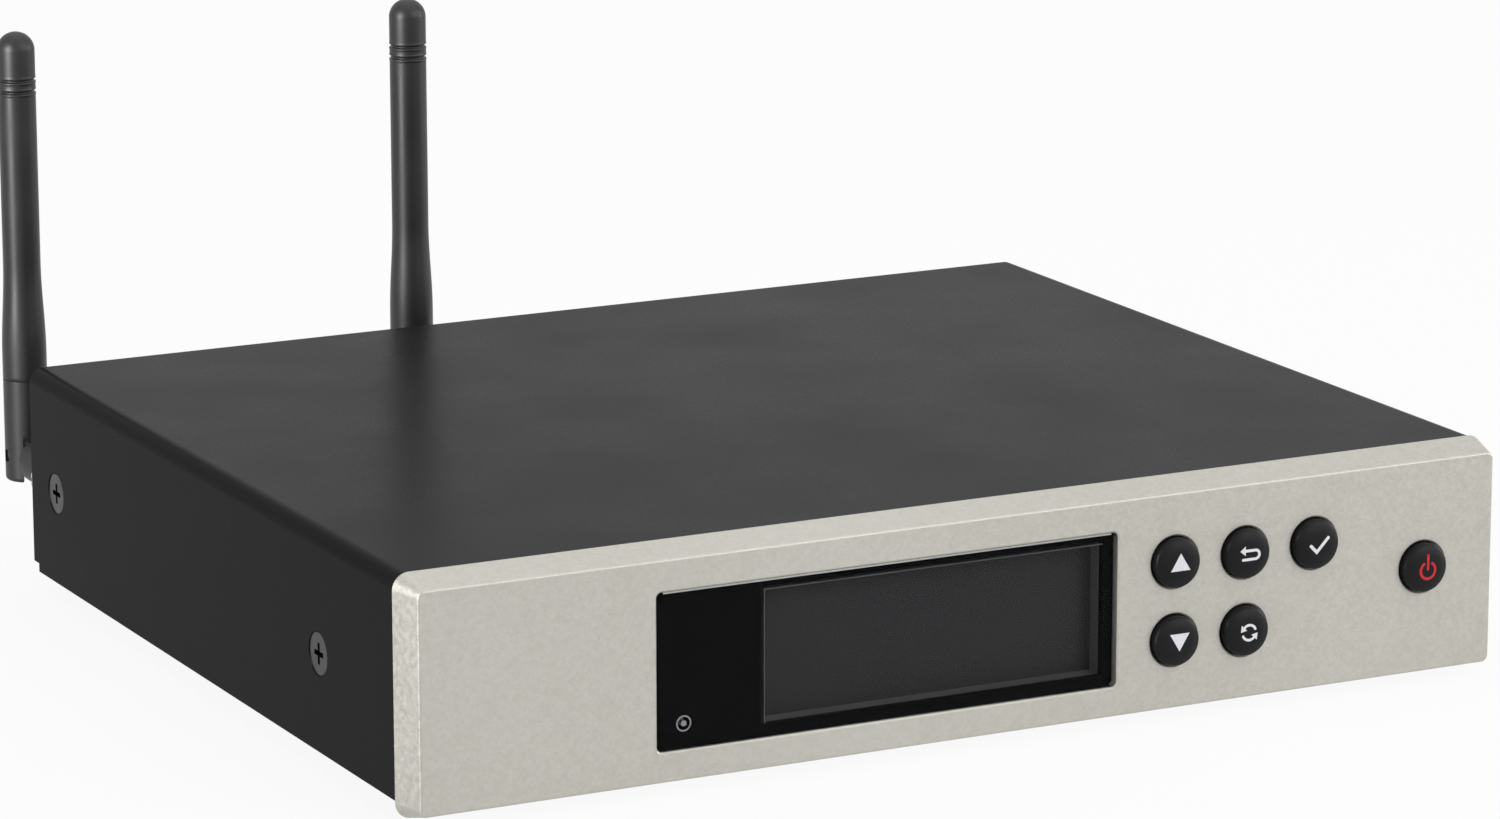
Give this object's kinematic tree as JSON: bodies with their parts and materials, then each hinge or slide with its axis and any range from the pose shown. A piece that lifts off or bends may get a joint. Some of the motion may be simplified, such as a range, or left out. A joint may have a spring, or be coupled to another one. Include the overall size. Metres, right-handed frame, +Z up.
{
  "type": "wireless receiver unit",
  "caption": "Half-rack wireless audio receiver: sheet-metal case, cast front panel with display window and push buttons, folding antennas on rear bayonet sockets.",
  "frame": {"origin": "on the surface the feet stand on, under the middle of the whole object's box, antennas included", "axes": "+X to the right of the front panel seen from the front, +Y from the front panel to the rear, +Z up"},
  "size_m": [0.212, 0.2142, 0.1005],
  "materials": {
    "panel_silver": "fine metallic paint, pale champagne, satin",
    "cover_black": "fine powder coat, satin near-black",
    "tray_black": "fine powder coat, satin near-black",
    "rear_black": "fine powder coat, satin near-black",
    "screw_black": "black oxide, slightly glossy",
    "screw_zinc": "zinc plate, satin",
    "foot_rubber": "matte moulded rubber",
    "window_clear": "clear polished acrylic",
    "bezel_black": "black moulded, satin to gloss",
    "lcd_grey": "dark grey liquid-crystal cell, switched off",
    "light_guide": "milky light guide",
    "diode_smoke": "smoked clear resin",
    "switch_black": "moulded",
    "button_rubber": "matte moulded, fine texture",
    "board_green": "solder mask",
    "ribbon_white": "flat flexible cable",
    "connector_cream": "moulded",
    "can_tin": "tin plate",
    "chip_black": "moulded epoxy",
    "capacitor_black": "shrink sleeve",
    "transformer_core": "laminated core",
    "socket_nickel": "nickel plate, bright",
    "insulator_white": "white moulded",
    "contact_gold": "gold flash",
    "contact_silver": "bright plate",
    "xlr_black": "die cast, black plate, satin",
    "socket_plastic": "black moulded",
    "hook_black": "black moulded",
    "ring_black": "black plate, satin",
    "antenna_plastic": "moulded, fine texture",
    "antenna_rubber": "matte moulded rubber",
    "mark_white": "screen-printed white ink",
    "mark_red": "screen-printed red ink"
  },
  "bodies": {
    "case": {"antenna_socket_contacts": "contact_gold", "antenna_socket_insulators": "insulator_white", "antenna_socket_nuts": "socket_nickel", "audio_transformer": "transformer_core", "board_screws": "screw_zinc", "board_standoffs": "screw_zinc", "bottom_tray": "tray_black", "cable_hook": "hook_black", "centre_antenna_socket": "socket_nickel", "data_contacts": "contact_gold", "data_socket": "socket_plastic", "dc_inlet": "socket_plastic", "dc_pin": "contact_silver", "display_bezel": "bezel_black", "display_window": "window_clear", "filter_capacitors": "capacitor_black", "front_board": "board_green", "front_board_spacers": "screw_zinc", "front_panel": "panel_silver", "infrared_diode": "diode_smoke", "jack_nut": "socket_nickel", "jack_socket": "socket_plastic", "key_switches": "switch_black", "lcd_backlight": "light_guide", "lcd_glass": "lcd_grey", "left_antenna_socket": "socket_nickel", "left_shield_can": "can_tin", "main_board": "board_green", "panel_screws": "screw_zinc", "processor_chips": "chip_black", "rear_panel": "rear_black", "ribbon_cable": "ribbon_white", "ribbon_connectors": "connector_cream", "right_shield_can": "can_tin", "rubber_feet": "foot_rubber", "side_screws": "screw_black", "top_cover": "cover_black", "xlr_insert": "socket_plastic", "xlr_pins": "contact_silver", "xlr_screws": "screw_black", "xlr_shell": "xlr_black"},
    "up_key": {"up_button": "button_rubber"},
    "escape_key": {"escape_button": "button_rubber"},
    "set_key": {"set_button": "button_rubber"},
    "down_key": {"down_button": "button_rubber"},
    "sync_key": {"sync_button": "button_rubber"},
    "power_key": {"power_button": "button_rubber"},
    "left_ring": {"left_coupling_ring": "socket_nickel"},
    "left_plug": {"left_antenna_plug": "ring_black"},
    "left_mast": {"left_antenna_fork": "antenna_plastic", "left_hinge_pin": "contact_silver", "left_antenna_mast": "antenna_rubber", "left_antenna_radiator": "contact_gold"},
    "centre_ring": {"centre_coupling_ring": "socket_nickel"},
    "centre_plug": {"centre_antenna_plug": "ring_black"},
    "centre_mast": {"centre_antenna_fork": "antenna_plastic", "centre_hinge_pin": "contact_silver", "centre_antenna_mast": "antenna_rubber", "centre_antenna_radiator": "contact_gold"}
  },
  "joints": [
    {"name": "up_press", "type": "slide", "parent": "case", "child": "up_key", "axis": [0, 1, 0], "range_m": [0, 0.0006], "stiffness_N_per_m": 400, "springref_m": -0.0005},
    {"name": "escape_press", "type": "slide", "parent": "case", "child": "escape_key", "axis": [0, 1, 0], "range_m": [0, 0.0006], "stiffness_N_per_m": 400, "springref_m": -0.0005},
    {"name": "set_press", "type": "slide", "parent": "case", "child": "set_key", "axis": [0, 1, 0], "range_m": [0, 0.0006], "stiffness_N_per_m": 400, "springref_m": -0.0005},
    {"name": "down_press", "type": "slide", "parent": "case", "child": "down_key", "axis": [0, 1, 0], "range_m": [0, 0.0006], "stiffness_N_per_m": 400, "springref_m": -0.0005},
    {"name": "sync_press", "type": "slide", "parent": "case", "child": "sync_key", "axis": [0, 1, 0], "range_m": [0, 0.0006], "stiffness_N_per_m": 400, "springref_m": -0.0005},
    {"name": "power_press", "type": "slide", "parent": "case", "child": "power_key", "axis": [0, 1, 0], "range_m": [0, 0.0006], "stiffness_N_per_m": 400, "springref_m": -0.0005},
    {"name": "left_ring_lock", "type": "hinge", "parent": "case", "child": "left_ring", "pos_m": [-0.0944, 0.07988, 0.018], "axis": [0, 1, 0], "range_deg": [0, 90]},
    {"name": "left_antenna_tilt", "type": "hinge", "parent": "case", "child": "left_plug", "pos_m": [-0.0944, 0.07988, 0.018], "axis": [0, 1, 0], "range_deg": [-90, 25]},
    {"name": "left_antenna_fold", "type": "hinge", "parent": "left_plug", "child": "left_mast", "pos_m": [-0.0944, 0.10287, 0.018], "axis": [-1, 0, 0], "range_deg": [0, 90]},
    {"name": "centre_ring_lock", "type": "hinge", "parent": "case", "child": "centre_ring", "pos_m": [-0.013, 0.07988, 0.018], "axis": [0, 1, 0], "range_deg": [0, 90]},
    {"name": "centre_antenna_tilt", "type": "hinge", "parent": "case", "child": "centre_plug", "pos_m": [-0.013, 0.07988, 0.018], "axis": [0, 1, 0], "range_deg": [-25, 90]},
    {"name": "centre_antenna_fold", "type": "hinge", "parent": "centre_plug", "child": "centre_mast", "pos_m": [-0.013, 0.10287, 0.018], "axis": [-1, 0, 0], "range_deg": [0, 90]}
  ]
}
